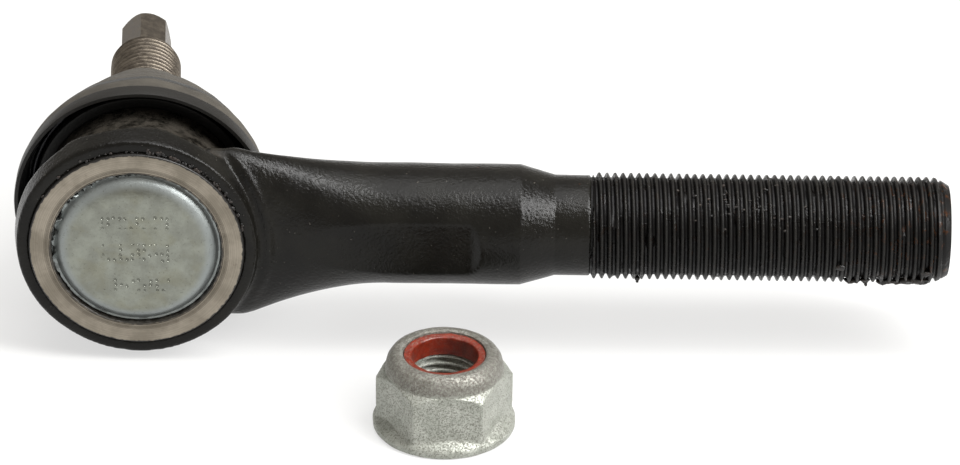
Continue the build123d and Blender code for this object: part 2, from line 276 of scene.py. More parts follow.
def finish_piece(obj, material, body, slot, *nodes, angle=35):
    """Gives a piece its finish, the body that it rides on and the CAD nodes that it stands for."""
    obj.data.materials.clear()
    obj.data.materials.append(material)
    smooth_shade(obj, angle)
    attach(obj, body)
    if nodes:
        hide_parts(*nodes)
    return obj


def wobble(x, y, z, size, depth):
    """Smooth random height for a place in millimetres."""
    return depth * noise.noise(Vector((x / size, y / size, z / size)))


# ---------------------------------------------------------------- material helpers


def srgb(code):
    """Linear colour from an sRGB hex value."""
    parts = [int(code[i:i + 2], 16) / 255 for i in (0, 2, 4)]
    return [c / 12.92 if c <= 0.04045 else ((c + 0.055) / 1.055) ** 2.4 for c in parts] + [1.0]


def node(tree, kind, links=None, **settings):
    """Adds a node; settings are properties or input values, links go into named inputs."""
    made = tree.nodes.new("ShaderNode" + kind)
    for key, value in settings.items():
        if hasattr(made, key):
            setattr(made, key, value)
    for key, value in settings.items():
        if not hasattr(made, key):
            made.inputs[key.replace("_", " ")].default_value = value
    for key, source in (links or {}).items():
        tree.links.new(source, made.inputs[key])
    return made


def material(name, **shader):
    """A new material: its tree, its shader and its coordinates in millimetres."""
    made = bpy.data.materials.new(name)
    made.use_nodes = True
    tree = made.node_tree
    principled = tree.nodes["Principled BSDF"]
    for key, value in shader.items():
        principled.inputs[key.replace("_", " ")].default_value = value
    place_in = node(tree, "TexCoord").outputs["Object"]
    scaled = node(tree, "Mapping", {"Vector": place_in}, Scale=(1 / MM, 1 / MM, 1 / MM))
    return made, tree, principled, scaled.outputs["Vector"]


def grain(tree, where, size, detail=3.0, roughness=0.55, distortion=0.0):
    """Noise whose lumps are about size millimetres across."""
    return node(tree, "TexNoise", {"Vector": where}, Scale=1 / size, Detail=detail, Roughness=roughness,
                Distortion=distortion).outputs["Fac"]


def ramp(tree, value, low, high, bottom=0.0, top=1.0):
    """Eases from bottom to top as value goes from low to high."""
    return node(tree, "MapRange", {"Value": value}, interpolation_type="SMOOTHSTEP", From_Min=low,
                From_Max=high, To_Min=bottom, To_Max=top).outputs["Result"]


def calc(tree, operation, a, b=None):
    """Adds a sum; each side is a number or a socket."""
    made = node(tree, "Math", operation=operation)
    for slot_index, value in enumerate((a, b)):
        if value is None:
            continue
        if isinstance(value, (int, float)):
            made.inputs[slot_index].default_value = value
        else:
            tree.links.new(value, made.inputs[slot_index])
    return made.outputs["Value"]


def tint(tree, share, first, second):
    """Mixes two colours, each a hex value or a socket."""
    made = node(tree, "Mix", {"Factor": share}, data_type="RGBA")
    colour_inputs = [s for s in made.inputs if s.type == "RGBA"]
    for socket, value in zip(colour_inputs, (first, second)):
        if isinstance(value, str):
            socket.default_value = srgb(value)
        else:
            tree.links.new(value, socket)
    return [s for s in made.outputs if s.type == "RGBA"][0]


def bump(tree, principled, height, depth):
    """Bump whose height of 1 stands depth millimetres high."""
    made = node(tree, "Bump", {"Height": height}, Strength=1.0, Distance=depth * MM)
    tree.links.new(made.outputs["Normal"], principled.inputs["Normal"])


def radius_about_y(tree, where):
    flat = node(tree, "VectorMath", {0: where}, operation="MULTIPLY")
    flat.inputs[1].default_value = (1, 0, 1)
    return node(tree, "VectorMath", {0: flat.outputs["Vector"]}, operation="LENGTH").outputs["Value"]


def split(tree, where):
    return node(tree, "SeparateXYZ", {"Vector": where}).outputs


# ---------------------------------------------------------------- finishes


def make_forging_paint():
    """Black coat over a shot-blasted forging: semi-gloss, orange peel, dust and a few rust specks."""
    made, tree, shader, where = material("black_paint_on_forging", Specular_IOR_Level=0.18)
    y = split(tree, where)[1]
    peel = grain(tree, where, 0.62, 2.0)
    fine = grain(tree, where, 0.24, 2.0)
    height = calc(tree, "ADD", calc(tree, "MULTIPLY", peel, 0.75), calc(tree, "MULTIPLY", fine, 0.25))
    bump(tree, shader, height, 0.15)
    cloud = ramp(tree, grain(tree, where, 9.0, 4.0), 0.40, 0.68)
    base = tint(tree, cloud, "0e0d0b", "161512")
    # Dust lies on the socket's waist, behind the band and under the boot.
    radius = radius_about_y(tree, where)
    behind = ramp(tree, y, -13.2, -11.8)
    near = ramp(tree, radius, 24.5, 21.8)
    patch = ramp(tree, grain(tree, where, 2.4, 5.0, 0.65), 0.34, 0.60)
    dust = calc(tree, "MULTIPLY", calc(tree, "MULTIPLY", behind, near), patch)
    base = tint(tree, calc(tree, "MULTIPLY", dust, 0.75), base, "38342e")
    speck = ramp(tree, grain(tree, where, 0.55, 1.0), 0.74, 0.80)
    base = tint(tree, calc(tree, "MULTIPLY", speck, 0.35), base, "6e6a62")
    rust = ramp(tree, grain(tree, where, 1.9, 4.0, 0.7), 0.73, 0.77)
    base = tint(tree, calc(tree, "MULTIPLY", rust, 0.7), base, "5b2f1a")
    tree.links.new(base, shader.inputs["Base Color"])
    rough = calc(tree, "ADD", ramp(tree, grain(tree, where, 4.0, 3.0), 0.3, 0.7, 0.19, 0.27),
                 calc(tree, "MULTIPLY", dust, 0.35))
    tree.links.new(rough, shader.inputs["Roughness"])
    return made


def make_turned_ring():
    """Bare turned steel: fine rings from the tool, a warm oxide film, dirt at both edges."""
    made, tree, shader, where = material("turned_bare_steel", Metallic=1.0)
    radius = radius_about_y(tree, where)
    marks = node(tree, "TexNoise", {"W": calc(tree, "MULTIPLY", radius, 7.0)}, noise_dimensions="1D",
                 Scale=1.0, Detail=3.0).outputs["Fac"]
    lip = calc(tree, "MULTIPLY", ramp(tree, radius, 17.4, 16.8), ramp(tree, marks, 0.42, 0.56))
    broad = grain(tree, where, 5.0, 4.0)
    colour = tint(tree, ramp(tree, broad, 0.35, 0.7), "847d71", "9f978a")
    colour = tint(tree, calc(tree, "MULTIPLY", ramp(tree, marks, 0.3, 0.75), 0.35), colour, "585147")
    stain = ramp(tree, grain(tree, where, 1.6, 5.0, 0.7), 0.55, 0.75)
    colour = tint(tree, calc(tree, "MULTIPLY", stain, 0.35), colour, "4a3c30")
    colour = tint(tree, calc(tree, "MULTIPLY", lip, 0.75), colour, "2a241d")
    ragged = grain(tree, where, 1.1, 4.0, 0.65)
    inner = ramp(tree, calc(tree, "ADD", radius, calc(tree, "MULTIPLY", ragged, 1.1)), 16.85, 16.55)
    outer = ramp(tree, calc(tree, "ADD", radius, calc(tree, "MULTIPLY", ragged, 0.7)), 19.95, 20.15)
    dirt = calc(tree, "MAXIMUM", calc(tree, "MULTIPLY", inner, 0.85), outer)
    colour = tint(tree, dirt, colour, "171513")
    tree.links.new(colour, shader.inputs["Base Color"])
    tree.links.new(calc(tree, "SUBTRACT", 1.0, calc(tree, "MULTIPLY", dirt, 0.9)), shader.inputs["Metallic"])
    tree.links.new(ramp(tree, marks, 0.2, 0.8, 0.32, 0.46), shader.inputs["Roughness"])
    bump(tree, shader, marks, 0.03)
    return made


def make_zinc_plate():
    """Satin zinc on pressed steel: greenish blotches, a painted highlight of lighter bluish grey on the
    shoulder, dark grime and three rows of peened dots.
    """
    made, tree, shader, where = material("zinc_plated_pressing", Metallic=0.9)
    x, _, z = split(tree, where)
    radius = radius_about_y(tree, where)
    blotch = grain(tree, where, 3.2, 5.0, 0.62)
    colour = tint(tree, ramp(tree, blotch, 0.34, 0.70), "7c7e76", "8e9188")
    yellow = ramp(tree, grain(tree, where, 5.5, 4.0, 0.6, 0.6), 0.45, 0.68)
    colour = tint(tree, calc(tree, "MULTIPLY", yellow, 0.35), colour, "77745f")
    # Painted highlight: the shoulder ring is painted a lighter bluish grey; the same ramp also makes it a
    # little less metallic and rougher.
    shoulder = ramp(tree, radius, 12.2, 14.0)
    colour = tint(tree, calc(tree, "MULTIPLY", shoulder, 0.6), colour, "989fa2")
    speck = ramp(tree, grain(tree, where, 0.5, 4.0, 0.75), 0.58, 0.70)
    colour = tint(tree, calc(tree, "MULTIPLY", speck, 0.6), colour, "4a4940")
    edge = ramp(tree, calc(tree, "ADD", radius, calc(tree, "MULTIPLY", grain(tree, where, 0.9, 3.0), 0.8)),
                16.1, 16.4)
    colour = tint(tree, edge, colour, "26231f")
    dots = peened_dots(tree, x, z)
    colour = tint(tree, calc(tree, "MULTIPLY", dots, 0.7), colour, "3c3c37")
    tree.links.new(colour, shader.inputs["Base Color"])
    dull = calc(tree, "ADD", calc(tree, "MULTIPLY", edge, 0.6), calc(tree, "MULTIPLY", shoulder, 0.15))
    tree.links.new(calc(tree, "SUBTRACT", 0.95, dull), shader.inputs["Metallic"])
    rough = calc(tree, "ADD", ramp(tree, blotch, 0.3, 0.7, 0.29, 0.35),
                 calc(tree, "MULTIPLY", shoulder, 0.14))
    tree.links.new(rough, shader.inputs["Roughness"])
    pits = calc(tree, "SUBTRACT", calc(tree, "MULTIPLY", grain(tree, where, 0.5, 3.0), 0.35), dots)
    bump(tree, shader, pits, 0.12)
    return made


def peened_dots(tree, x, z):
    """Three rows of small round dents, some left out at random: a batch mark with no letters."""
    step = 1.1              # between dots
    row = 3.6               # half the distance between rows
    middle_z = -0.3
    columns, rows = (calc(tree, "DIVIDE", axis, step) for axis in (x, z))
    lattice = node(tree, "CombineXYZ", {"X": columns, "Z": rows}).outputs["Vector"]
    cell = node(tree, "VectorMath", {0: lattice}, operation="FLOOR").outputs["Vector"]
    within = node(tree, "VectorMath", {0: lattice}, operation="FRACTION").outputs["Vector"]
    centred = node(tree, "VectorMath", {0: within}, operation="SUBTRACT")
    centred.inputs[1].default_value = (0.5, 0, 0.5)
    stray = node(tree, "TexWhiteNoise", {"Vector": cell}, noise_dimensions="3D").outputs["Color"]
    shift = node(tree, "VectorMath", {0: stray}, operation="MULTIPLY_ADD")
    shift.inputs[1].default_value = (0.34, 0, 0.34)
    shift.inputs[2].default_value = (-0.17, 0, -0.17)
    hit = node(tree, "VectorMath", {0: centred.outputs["Vector"], 1: shift.outputs["Vector"]},
               operation="ADD")
    away = node(tree, "VectorMath", {0: hit.outputs["Vector"]}, operation="LENGTH").outputs["Value"]
    dot = calc(tree, "SUBTRACT", ramp(tree, away, 0.27, 0.17),
               calc(tree, "MULTIPLY", ramp(tree, away, 0.36, 0.28), 0.4))
    chance = node(tree, "TexWhiteNoise", {"Vector": cell}, noise_dimensions="3D").outputs["Value"]
    kept = calc(tree, "GREATER_THAN", chance, 0.45)
    height = calc(tree, "ADD", z, -middle_z)
    in_row = calc(tree, "LESS_THAN", calc(tree, "PINGPONG", height, row), row * 0.55)
    wide = calc(tree, "LESS_THAN", calc(tree, "ABSOLUTE", x), 6.2)
    tall = calc(tree, "LESS_THAN", calc(tree, "ABSOLUTE", height), 8.0)
    shown = calc(tree, "MULTIPLY", calc(tree, "MULTIPLY", wide, tall), calc(tree, "MULTIPLY", in_row, kept))
    return calc(tree, "MULTIPLY", dot, shown)


def make_boot_rubber():
    """Moulded chloroprene: dark and smooth at the lip, painted shade inside the skirt, brown dust rubbed into
    the dome.
    """
    made, tree, shader, where = material("dusty_boot_rubber", Specular_IOR_Level=0.4)
    y = split(tree, where)[1]
    cloud = grain(tree, where, 5.0, 5.0, 0.62)
    fine = grain(tree, where, 0.35, 3.0)
    dome = ramp(tree, calc(tree, "ADD", y, calc(tree, "MULTIPLY", fine, 0.3)), 2.0, 2.5)
    # Painted shade: inside the skirt, under the lip, the rubber is painted near black and kept free of dust.
    inside = calc(tree, "MULTIPLY", ramp(tree, radius_about_y(tree, where), 23.6, 23.2),
                  ramp(tree, y, 9.0, 8.6))
    dust = calc(tree, "MULTIPLY", dome, ramp(tree, cloud, 0.25, 0.65, 0.55, 1.0))
    dust = calc(tree, "MULTIPLY", dust, calc(tree, "SUBTRACT", 1.0, inside))
    colour = tint(tree, dust, "171614", "48443d")
    # The painted shade inside the skirt.
    colour = tint(tree, inside, colour, "070706")
    pale = ramp(tree, grain(tree, where, 1.1, 4.0, 0.7), 0.66, 0.78)
    colour = tint(tree, calc(tree, "MULTIPLY", calc(tree, "MULTIPLY", pale, dome), 0.4), colour, "8b8068")
    tree.links.new(colour, shader.inputs["Base Color"])
    tree.links.new(ramp(tree, dust, 0.0, 1.0, 0.46, 0.72), shader.inputs["Roughness"])
    bump(tree, shader, calc(tree, "ADD", fine, calc(tree, "MULTIPLY", cloud, 0.6)), 0.06)
    return made


def make_stud_steel():
    """Heat-treated steel with an oil film: brown-grey, darker in patches, grime in the thread."""
    made, tree, shader, where = material("oiled_stud_steel", Metallic=0.92)
    x, y, z = split(tree, where)
    lean_sin, lean_cos = math.sin(REST_TILT), math.cos(REST_TILT)
    along = calc(tree, "SUBTRACT", calc(tree, "MULTIPLY", y, lean_cos), calc(tree, "MULTIPLY", x, lean_sin))
    across = calc(tree, "ADD", calc(tree, "MULTIPLY", x, lean_cos), calc(tree, "MULTIPLY", y, lean_sin))
    squares = [calc(tree, "MULTIPLY", side, side) for side in (across, z)]
    radius = calc(tree, "SQRT", calc(tree, "ADD", *squares))
    cloud = grain(tree, where, 1.6, 5.0, 0.65)
    colour = tint(tree, ramp(tree, cloud, 0.35, 0.68), "5f5850", "756d62")
    spots = ramp(tree, grain(tree, where, 0.5, 4.0, 0.7), 0.58, 0.72)
    colour = tint(tree, calc(tree, "MULTIPLY", spots, 0.45), colour, "2e2822")
    threaded = calc(tree, "MULTIPLY", ramp(tree, along, STUD_THREAD_START, STUD_THREAD_START + 0.3),
                    ramp(tree, along, STUD_THREAD_END + 0.2, STUD_THREAD_END))
    root = calc(tree, "MULTIPLY", threaded, ramp(tree, radius, STUD_THREAD_R - 0.12, STUD_THREAD_R - 0.6))
    shelf = calc(tree, "MULTIPLY", ramp(tree, along, STUD_THREAD_END - 0.9, STUD_THREAD_END - 0.6), threaded)
    grime = calc(tree, "MAXIMUM", root, calc(tree, "MULTIPLY", shelf, 0.8))
    colour = tint(tree, calc(tree, "MULTIPLY", grime, 0.5), colour, "1f1a16")
    tree.links.new(colour, shader.inputs["Base Color"])
    rough = calc(tree, "ADD", ramp(tree, cloud, 0.3, 0.7, 0.30, 0.45), calc(tree, "MULTIPLY", grime, 0.3))
    tree.links.new(rough, shader.inputs["Roughness"])
    bump(tree, shader, grain(tree, where, 0.3, 3.0), 0.03)
    return made


def make_thread_coat():
    """Coated thread under old grease: worn grey crests, black roots, rust towards the end."""
    made, tree, shader, where = material("greased_black_thread", Specular_IOR_Level=0.22)
    x, y, z = split(tree, where)
    centred = node(tree, "CombineXYZ", {"Y": calc(tree, "SUBTRACT", y, SHANK_Y), "Z": z})
    radius = node(tree, "VectorMath", {0: centred.outputs["Vector"]}, operation="LENGTH").outputs["Value"]
    cloud = grain(tree, where, 6.0, 5.0, 0.65)
    crest = ramp(tree, radius, SHANK_THREAD_R - 0.45, SHANK_THREAD_R - 0.1)
    worn = calc(tree, "MULTIPLY", crest, ramp(tree, cloud, 0.30, 0.62, 0.35, 1.0))
    colour = tint(tree, worn, "060505", "1b1a18")
    towards_end = ramp(tree, x, SHANK_END - 26, SHANK_END - 4)
    patches = ramp(tree, grain(tree, where, 1.5, 5.0, 0.72), 0.55, 0.66)
    rust = calc(tree, "MULTIPLY", calc(tree, "ADD", calc(tree, "MULTIPLY", towards_end, 0.55), 0.06), patches)
    colour = tint(tree, rust, colour, "44260f")
    tree.links.new(colour, shader.inputs["Base Color"])
    grease = ramp(tree, grain(tree, where, 3.0, 4.0, 0.6), 0.48, 0.60)
    rough = calc(tree, "SUBTRACT", 0.46, calc(tree, "MULTIPLY", grease, 0.22))
    tree.links.new(rough, shader.inputs["Roughness"])
    lumps = calc(tree, "ADD", calc(tree, "MULTIPLY", grain(tree, where, 0.35, 3.0), 0.5),
                 calc(tree, "MULTIPLY", grease, grain(tree, where, 0.8, 3.0)))
    bump(tree, shader, lumps, 0.10)
    return made


def make_dried_grease():
    """Old grease with dust in it: black, waxy, glistening only where it is fresh."""
    made, tree, shader, where = material("dried_grease", Specular_IOR_Level=0.5)
    cloud = grain(tree, where, 1.2, 4.0, 0.65)
    tree.links.new(tint(tree, ramp(tree, cloud, 0.4, 0.7), "0a0908", "2a2019"), shader.inputs["Base Color"])
    tree.links.new(ramp(tree, cloud, 0.35, 0.65, 0.28, 0.65), shader.inputs["Roughness"])
    bump(tree, shader, grain(tree, where, 0.25, 3.0), 0.08)
    return made


def make_zinc_flake():
    """Dip-spun zinc flake: dull pale grey, mottled with brown-grey spots, darker on the collar."""
    made, tree, shader, where = material("zinc_flake_coat", Metallic=0.55)
    z = split(tree, where)[2]
    cloud = grain(tree, where, 2.8, 5.0, 0.66)
    colour = tint(tree, ramp(tree, cloud, 0.36, 0.66), "9da097", "b0b2aa")
    spots = ramp(tree, grain(tree, where, 0.30, 3.0, 0.75, 0.8), 0.50, 0.60)
    colour = tint(tree, calc(tree, "MULTIPLY", spots, 0.65), colour, "58554b")
    high = ramp(tree, calc(tree, "ADD", z, calc(tree, "MULTIPLY", cloud, 2.0)), FLOOR_Z + COLLAR_FROM + 0.6,
                FLOOR_Z + COLLAR_FROM + 1.8)
    mottle = ramp(tree, grain(tree, where, 0.55, 5.0, 0.78), 0.40, 0.60, 0.35, 0.72)
    colour = tint(tree, calc(tree, "MULTIPLY", high, mottle), colour, "5a514b")
    tree.links.new(colour, shader.inputs["Base Color"])
    tree.links.new(ramp(tree, cloud, 0.3, 0.7, 0.40, 0.55), shader.inputs["Roughness"])
    bump(tree, shader, calc(tree, "ADD", spots, grain(tree, where, 0.3, 3.0)), 0.05)
    return made


def make_red_nylon():
    """Moulded orange-red nylon: slightly waxy, grime on its rim."""
    made, tree, shader, where = material("red_nylon", Roughness=0.38, Subsurface_Weight=0.15)
    shader.inputs["Subsurface Radius"].default_value = (0.0012, 0.0003, 0.0001)
    cloud = grain(tree, where, 1.4, 4.0, 0.6)
    colour = tint(tree, ramp(tree, cloud, 0.35, 0.65), "5f1706", "761f08")
    rim = ramp(tree, split(tree, where)[2], FLOOR_Z + 14.3, FLOOR_Z + 14.5, 0.25, 1.0)
    grime = calc(tree, "MULTIPLY", ramp(tree, grain(tree, where, 0.4, 4.0, 0.75), 0.48, 0.62), rim)
    colour = tint(tree, calc(tree, "MULTIPLY", grime, 0.7), colour, "7a6055")
    tree.links.new(colour, shader.inputs["Base Color"])
    bump(tree, shader, grain(tree, where, 0.4, 3.0), 0.04)
    return made


def make_moulded(name, pale, dark, size):
    """Moulded engineering plastic: faint flow marks and a fine tooth from the mould."""
    made, tree, shader, where = material(name, Roughness=0.45)
    flow = grain(tree, where, size, 4.0, 0.6)
    tree.links.new(tint(tree, ramp(tree, flow, 0.3, 0.7), dark, pale), shader.inputs["Base Color"])
    bump(tree, shader, grain(tree, where, size / 8, 2.0), 0.02)
    return made


def make_spring_steel():
    """Oiled spring steel: blue-grey from tempering, fine rolled streaks."""
    made, tree, shader, where = material("tempered_spring_steel", Metallic=1.0)
    cloud = grain(tree, where, 3.0, 4.0)
    tree.links.new(tint(tree, ramp(tree, cloud, 0.3, 0.7), "2c2c2e", "454547"), shader.inputs["Base Color"])
    tree.links.new(ramp(tree, cloud, 0.3, 0.7, 0.24, 0.40), shader.inputs["Roughness"])
    bump(tree, shader, grain(tree, where, 0.4, 2.0), 0.02)
    return made


# ---------------------------------------------------------------- housing


def make_forged_body(paint):
    """Socket and arm as one forged skin: two solids fused on a fine grid, then eased together."""
    band_y = RIM_FACE_Y + RING_STEP + BAND_LEN
    socket = wire([
        (RIM_FACE_Y + RING_STEP, RING_OUT_R), (RIM_FACE_Y + RING_STEP, BAND_FRONT_R), (band_y, BAND_REAR_R),
        (band_y + 1.6, WAIST_R), (SEAT_START_Y, NECK_OUT_R + 0.9), (SEAT_START_Y, NECK_OUT_R),
        (SOCKET_END_Y, NECK_OUT_R), (SOCKET_END_Y, OPEN_FLARE_R), (SOCKET_END_Y - 3.7, OPEN_R),
        (3.0, SOCKET_BORE_R), (RIM_FACE_Y + MOUTH_DEPTH, SOCKET_BORE_R),
        (RIM_FACE_Y + MOUTH_DEPTH, RING_OUT_R),
    ], close=True)
    spin(stations(socket, 0.8), 220)
    for vert in socket.verts:
        angle = math.atan2(vert.co.z, vert.co.y)
        radius = math.hypot(vert.co.y, vert.co.z)
        if radius > WAIST_R + 0.4 and vert.co.x > RIM_FACE_Y + 2:
            share = (vert.co.x - RIM_FACE_Y - 2) / (BAND_LEN + RING_STEP - 2)
            ring_x, ring_z = 5.5 * math.cos(angle), 5.5 * math.sin(angle)
            vert.co.x += share * (wobble(ring_x, 3, ring_z, 1.7, 0.9) + wobble(ring_x, 9, ring_z, 0.45, 0.5))
    place(socket, ABOUT_Y)

    arm = wire([(ARM_ROOT_X, 0.0), (ARM_ROOT_X, ARM_R), (ARM_END, ARM_R), (CONE_END, SHANK_NECK_R),
                (SHANK_THREAD_START, SHANK_NECK_R), (SHANK_THREAD_START, 0.0)])
    spin(stations(arm, 0.6), 160)
    for vert in arm.verts:
        flare(vert)
    body = as_object("forged_body", join(socket, place(arm, about_shank())))
    remesh = body.modifiers.new("fuse", "REMESH")
    remesh.mode = "VOXEL"
    remesh.voxel_size = FUSE_GRID * MM
    applied(body)
    ease(body)
    true_up(body)
    return finish_piece(body, paint, "socket", "forging_paint", "housing", angle=40)


def arm_radius(x):
    """Barrel, cone and neck."""
    if x < ARM_END:
        return ARM_R
    down = min(1.0, (x - ARM_END) / (CONE_END - ARM_END))
    return ARM_R - down * (ARM_R - SHANK_NECK_R)


def softened_min(a, b, radius):
    """The smaller of two sizes, rounded over where they cross."""
    near = max(0.0, radius - abs(a - b)) / radius
    return min(a, b) - near * near * radius / 4


def flat_height(x):
    """Distance of the two wrench flats from the shank's axis, with the radius that runs them out."""
    run_out = max(0.0, x - FLAT_END) / FLAT_RUN_OUT
    return FLAT_HALF + (ARM_R - FLAT_HALF) * run_out ** 2


def flare(vert):
    """Spreads the arm's root towards the socket, cuts the two flats and clears the boot's lip."""
    x, y, z = vert.co
    t = min(1.1, max(0.0, (FLARE_END - x) / (FLARE_END - FLARE_X)))
    half_z = min(ROOT_HALF_Z, ARM_R + (FLARE_HALF_Z - ARM_R) * t ** 1.53)
    forward = ROOT_FORWARD * min(t, 0.8) ** 1.65
    half_y = ARM_R - ROOT_THINNING * min(1.0, 1.6 * t) - forward
    z *= half_z / ARM_R
    y = y * half_y / ARM_R - forward
    y = min(max(y, -flat_height(x)), flat_height(x))
    if math.hypot(x, z) < RELIEF_R:
        y = min(y, LIP_FRONT_Y - 0.8 - SHANK_Y)
    vert.co = (x, y, z)


def ease(body):
    """Takes the grid's steps off the fused skin, and works a forged fillet into the arm's root."""
    steps = body.modifiers.new("grid_steps", "SMOOTH")
    steps.factor = 0.5
    steps.iterations = 4
    applied(body)
    root = []
    for vert in body.data.vertices:
        x, y, z = vert.co / MM
        if x > 6 and 19.0 < math.hypot(x, z) < 27 and y > RIM_FACE_Y + 1.8:
            root.append(vert.index)
    body.vertex_groups.new(name="root").add(root, 1.0, "REPLACE")
    fillet = body.modifiers.new("forged_fillet", "SMOOTH")
    fillet.vertex_group = "root"
    fillet.factor = 0.6
    fillet.iterations = 10
    applied(body)


def ridge(x, y, z):
    """Height of the forged ridge where the arm's root meets the band, on the cover's side."""
    if y > SHANK_Y - 3:
        return 0.0
    turn = math.degrees(math.atan2(z, x)) - 10
    off = (math.hypot(x, z) - RIDGE_R) / RIDGE_HALF_WIDTH
    return RIDGE_H * max(0.0, 1 - (turn / 42) ** 2) * math.exp(-off * off)


def true_up(body):
    """Brings the barrel, the flats, the cone and the neck back to their exact shape, edges and all."""
    bm = bmesh.new()
    bm.from_mesh(body.data)
    for x in (FLAT_END, ARM_END, CONE_END):
        bmesh.ops.bisect_plane(bm, geom=everything(bm), plane_co=(x * MM, 0, 0), plane_no=(1, 0, 0),
                               dist=1e-6)
    for vert in bm.verts:
        x, y, z = vert.co / MM
        if FLARE_END < x < SHANK_THREAD_START - 0.3:
            radius = math.hypot(y - SHANK_Y, z)
            flat = flat_height(x) * radius / max(abs(y - SHANK_Y), 0.1)
            wanted = softened_min(arm_radius(x), flat, 0.35)
            share = min(1.0, (x - FLARE_END) / 4)
            scale = 1 + share * (wanted / radius - 1)
            vert.co.y = (SHANK_Y + (y - SHANK_Y) * scale) * MM
            vert.co.z = z * scale * MM
    bm.normal_update()
    for vert in bm.verts:
        x, y, z = vert.co / MM
        if x < SHANK_THREAD_START - 0.5:
            height = wobble(x, y, z, 9.0, 0.07) + wobble(x, y, z, 2.4, 0.02) + ridge(x, y, z)
            vert.co += vert.normal * MM * height
    bm.to_mesh(body.data)
    bm.free()


def make_socket_mouth(steel):
    """Bare ring turned at the socket's mouth, with the lip that is rolled over the cover."""
    floor_y = RIM_FACE_Y + MOUTH_DEPTH
    groove_r = 18.0
    ring = wire([
        (RIM_FACE_Y, RING_IN_R), (RIM_FACE_Y, RING_OUT_R + 0.05),
        (RIM_FACE_Y + RING_STEP + 0.1, RING_OUT_R + 0.2), (floor_y, RING_OUT_R + 0.2),
        (floor_y, SOCKET_BORE_R), (floor_y - 0.01, groove_r), (RIM_FACE_Y + 1.6, groove_r),
        (RIM_FACE_Y + 1.5, RING_IN_R + 0.1),
    ], {0: 0.35, 1: 0.25}, close=True)
    spin(stations(ring, 0.7), 240)
    for vert in ring.verts:
        radius = math.hypot(vert.co.y, vert.co.z)
        if radius < RING_IN_R + 0.7:
            push = wobble(vert.co.y, 0, vert.co.z, 1.2, 0.22) + wobble(vert.co.y, 5, vert.co.z, 0.4, 0.10)
            from_axis(vert, 1 + push / radius)
    mouth = as_object("socket_mouth", place(ring, ABOUT_Y))
    return finish_piece(mouth, steel, "socket", "forging_paint", angle=30)


def thread_tube(start, end, major, envelope, steps=48, pitch=PITCH, depth=THREAD_DEPTH):
    """A helical thread between two planes; envelope(x, radius) trims or fills it."""
    flat = pitch / 5
    slope = (pitch - 2 * flat) / 2
    crest, root = (major, major - depth)
    profile = wire([(0, root), (flat, root), (flat + slope * 0.5, (root + crest) / 2), (flat + slope, crest),
                    (2 * flat + slope, crest), (2 * flat + slope * 1.5, (root + crest) / 2), (pitch, root)],
                   {3: 0.2, 4: 0.2}, segments=2)
    turns = math.ceil((end - start) / pitch) + 2
    spin(profile, steps, turns, pitch)
    place(profile, Matrix.Translation((start - 1.5 * pitch, 0, 0)))
    for vert in profile.verts:
        radius = math.hypot(vert.co.y, vert.co.z)
        wanted = envelope(vert.co.x, radius)
        from_axis(vert, wanted / radius)
    bisect(profile, start, keep_below=False)
    bisect(profile, end, keep_below=True)
    return profile


def make_shank_thread(coat):
    """M20 x 1.5 rolled thread with a chamfered end and clumps of old grease."""

    def envelope(x, radius):
        lead_in = SHANK_THREAD_START + 0.35
        if x < lead_in:
            radius = SHANK_THREAD_R - THREAD_DEPTH
        from_end = SHANK_END - x
        if from_end < SHANK_CHAMFER:
            drop = (SHANK_CHAMFER - from_end) / SHANK_CHAMFER
            limit = SHANK_THREAD_R - (SHANK_THREAD_R - SHANK_END_R) * drop ** 1.3
            radius = min(radius, limit)
        return radius

    thread = thread_tube(SHANK_THREAD_START - 0.4, SHANK_END, SHANK_THREAD_R, envelope, steps=64)
    for vert in thread.verts:
        x, y, z = vert.co
        radius = math.hypot(y, z)
        clump = max(0.0, noise.noise(Vector((x / 2.3, y / 2.3, z / 2.3))) - 0.33) * 1.6
        low = max(0.0, (x - (SHANK_END - 18)) / 18) * max(0.0, -z / 10)
        fill = min(1.0, clump + 0.8 * low * max(0.0, noise.noise(Vector((x / 1.6, y / 1.6, 7)))))
        wanted = radius + fill * max(0.0, SHANK_THREAD_R - 0.15 - radius) * (x < SHANK_END - SHANK_CHAMFER)
        wanted += wobble(x, y, z, 1.1, 0.05)
        wanted = min(wanted, SHANK_THREAD_R + 0.05)
        from_axis(vert, wanted / radius)
    cap(thread)
    obj = as_object("shank_thread", place(thread, about_shank()))
    return finish_piece(obj, coat, "socket", "forging_paint", "housing", angle=50)


